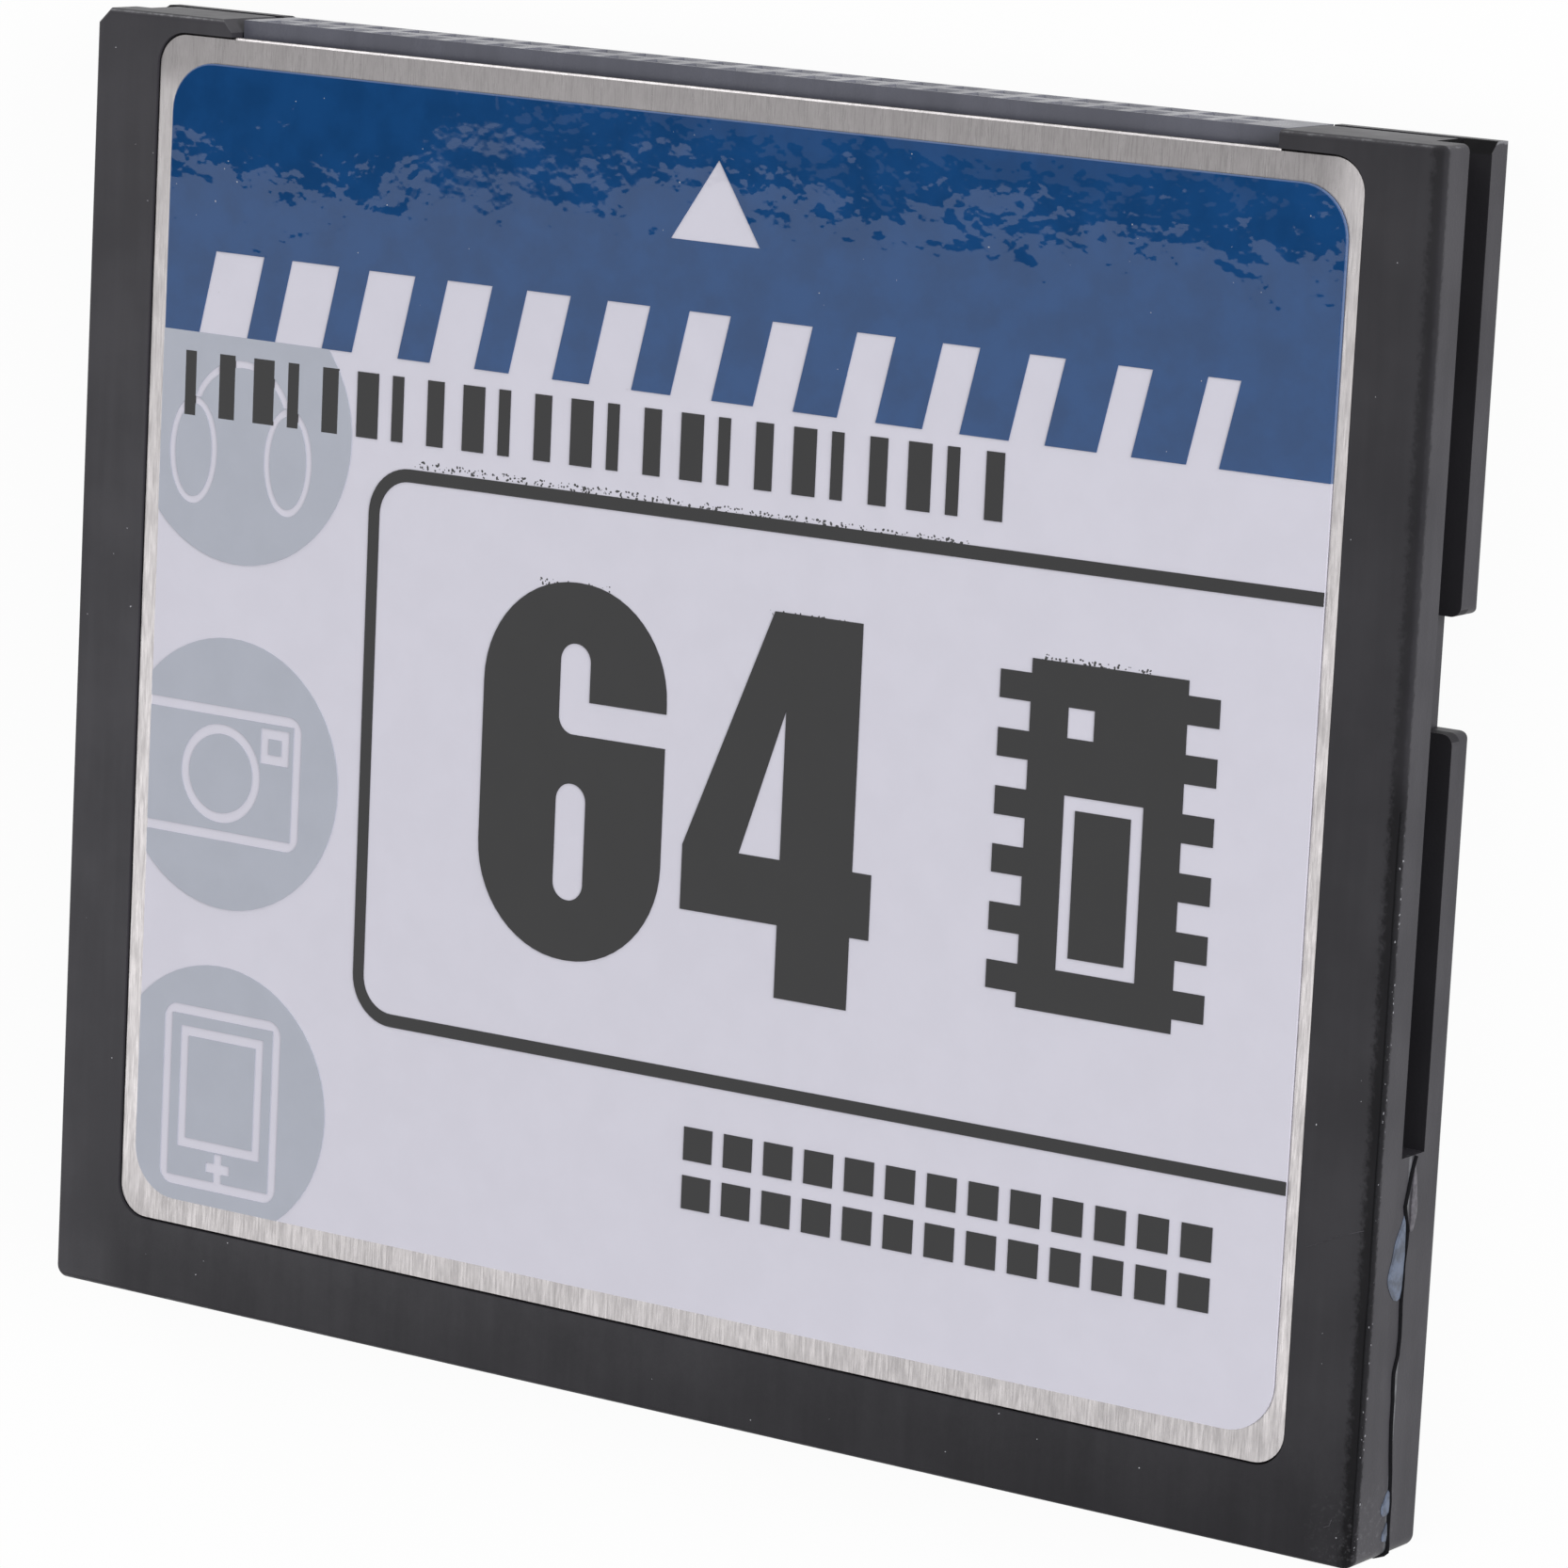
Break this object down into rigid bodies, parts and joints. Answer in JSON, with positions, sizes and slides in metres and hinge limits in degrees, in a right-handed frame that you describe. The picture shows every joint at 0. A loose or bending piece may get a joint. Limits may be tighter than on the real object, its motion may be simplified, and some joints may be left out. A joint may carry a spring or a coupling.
{
  "type": "compact flash memory card",
  "caption": "Flat rectangular flash memory card with side guide grooves, metal cover panels, a printed label and a two-row socket connector along one edge.",
  "frame": {"origin": "middle of the back face, on the surface that the card lies on", "axes": "+Z out of the label side, through the thickness; +X across the card, along the connector; +Y towards the connector edge"},
  "size_m": [0.0428, 0.0364, 0.0033],
  "materials": {
    "shell_plastic": "fine satin moulding",
    "panel_metal": "brushed along the card",
    "connector_plastic": "satin",
    "contact_metal": "gold plated",
    "board_laminate": "green resist over glass laminate",
    "package_resin": "matt moulding resin",
    "tinned_metal": "tinned",
    "ceramic": "fired ceramic",
    "seam_adhesive": "dried adhesive",
    "label_white": "smooth film",
    "label_blue": "printed film",
    "label_dark": "printed film",
    "label_grey": "printed film"
  },
  "bodies": {
    "root": {"front_shell": "shell_plastic", "rear_shell": "shell_plastic", "seam_bead": "seam_adhesive", "front_panel": "panel_metal", "rear_panel": "panel_metal", "connector_housing": "connector_plastic", "upper_contacts": "contact_metal", "lower_contacts": "contact_metal", "circuit_board": "board_laminate", "controller": "package_resin", "controller_leads": "tinned_metal", "flash_chip": "package_resin", "flash_chip_leads": "tinned_metal", "capacitors": "ceramic", "resistors": "ceramic", "voltage_regulator": "package_resin", "label_film": "label_white", "label_header": "label_blue", "label_print": "label_dark", "label_discs": "label_grey"}
  },
  "joints": []
}
